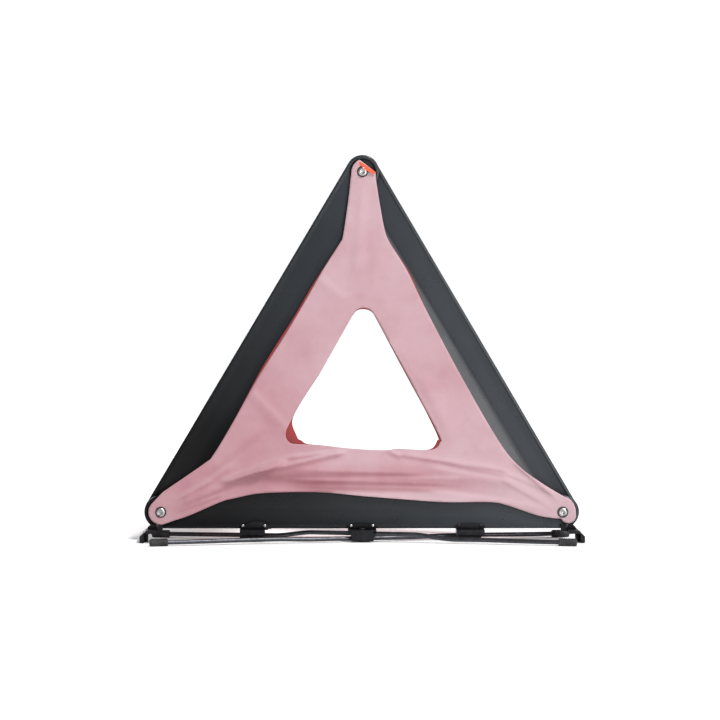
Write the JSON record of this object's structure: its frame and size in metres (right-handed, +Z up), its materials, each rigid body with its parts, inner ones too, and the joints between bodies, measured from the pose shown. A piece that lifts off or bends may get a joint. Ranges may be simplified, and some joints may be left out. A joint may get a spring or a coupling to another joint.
{
  "type": "warning triangle",
  "caption": "Folding roadside warning triangle with reflector trays round a riveted fabric panel, standing on crossed wire legs.",
  "frame": {"origin": "on the ground under the pivot where the two wire legs cross, which is the bottom centre of the whole object", "axes": "+X along the base, +Y towards the traffic (the reflector side), +Z up"},
  "size_m": [0.441, 0.1082, 0.3838],
  "materials": {
    "black_plastic": "satin moulded ABS",
    "red_lens": "clear red prismatic lens",
    "fabric_back": "pale pink reverse of coated cloth",
    "fabric_front": "fluorescent orange-red coated cloth",
    "steel": "zinc-plated",
    "wire": "dark zinc-plated spring wire",
    "dark_steel": "blackened",
    "nylon": "satin black nylon",
    "rubber": "matt"
  },
  "bodies": {
    "base": {"bottom_arm_shell": "black_plastic", "bottom_reflector": "red_lens", "fabric_back_ply": "fabric_back", "fabric_front_ply": "fabric_front", "left_pivot_rivet": "steel", "right_pivot_rivet": "steel", "left_rivet_washer": "dark_steel", "right_rivet_washer": "dark_steel", "left_thrust_washer": "nylon", "right_pivot_spacer": "nylon", "left_leg_clip": "nylon", "left_leg_clip_rivet_left": "steel", "left_leg_clip_rivet_right": "steel", "right_leg_clip": "nylon", "right_leg_clip_rivet_left": "steel", "right_leg_clip_rivet_right": "steel", "centre_leg_bracket": "nylon", "centre_leg_bracket_rivet_left": "steel", "centre_leg_bracket_rivet_right": "steel", "leg_pivot_pin": "dark_steel", "left_end_bracket": "nylon", "right_end_bracket": "nylon", "left_bracket_screw": "steel", "right_bracket_screw": "steel"},
    "left_arm": {"left_arm_shell": "black_plastic", "left_reflector": "red_lens", "apex_rivet": "steel", "apex_rivet_washer": "dark_steel", "apex_catch_stud": "nylon"},
    "right_arm": {"right_arm_shell": "black_plastic", "right_reflector": "red_lens"},
    "leg_a": {"leg_wire_a": "wire", "front_right_foot": "rubber", "back_left_foot": "rubber"},
    "leg_b": {"leg_wire_b": "wire", "back_right_foot": "rubber", "front_left_foot": "rubber"}
  },
  "joints": [
    {"name": "left_arm_fold", "type": "hinge", "parent": "base", "child": "left_arm", "pos_m": [-0.2, 0.0166, 0.029], "axis": [0, 1, 0], "range_deg": [0, 55.4], "deforming": ["fabric_back_ply", "fabric_front_ply"]},
    {"name": "right_arm_fold", "type": "hinge", "parent": "base", "child": "right_arm", "pos_m": [0.2, 0.0248, 0.029], "axis": [0, -1, 0], "range_deg": [0, 55.4]},
    {"name": "leg_a_swing", "type": "hinge", "parent": "base", "child": "leg_a", "pos_m": [0, 0, 0.00345], "axis": [0, 0, 1], "range_deg": [-10.2, 12]},
    {"name": "leg_b_swing", "type": "hinge", "parent": "base", "child": "leg_b", "pos_m": [0, 0, 0.00825], "axis": [0, 0, -1], "range_deg": [-10.2, 12]}
  ]
}
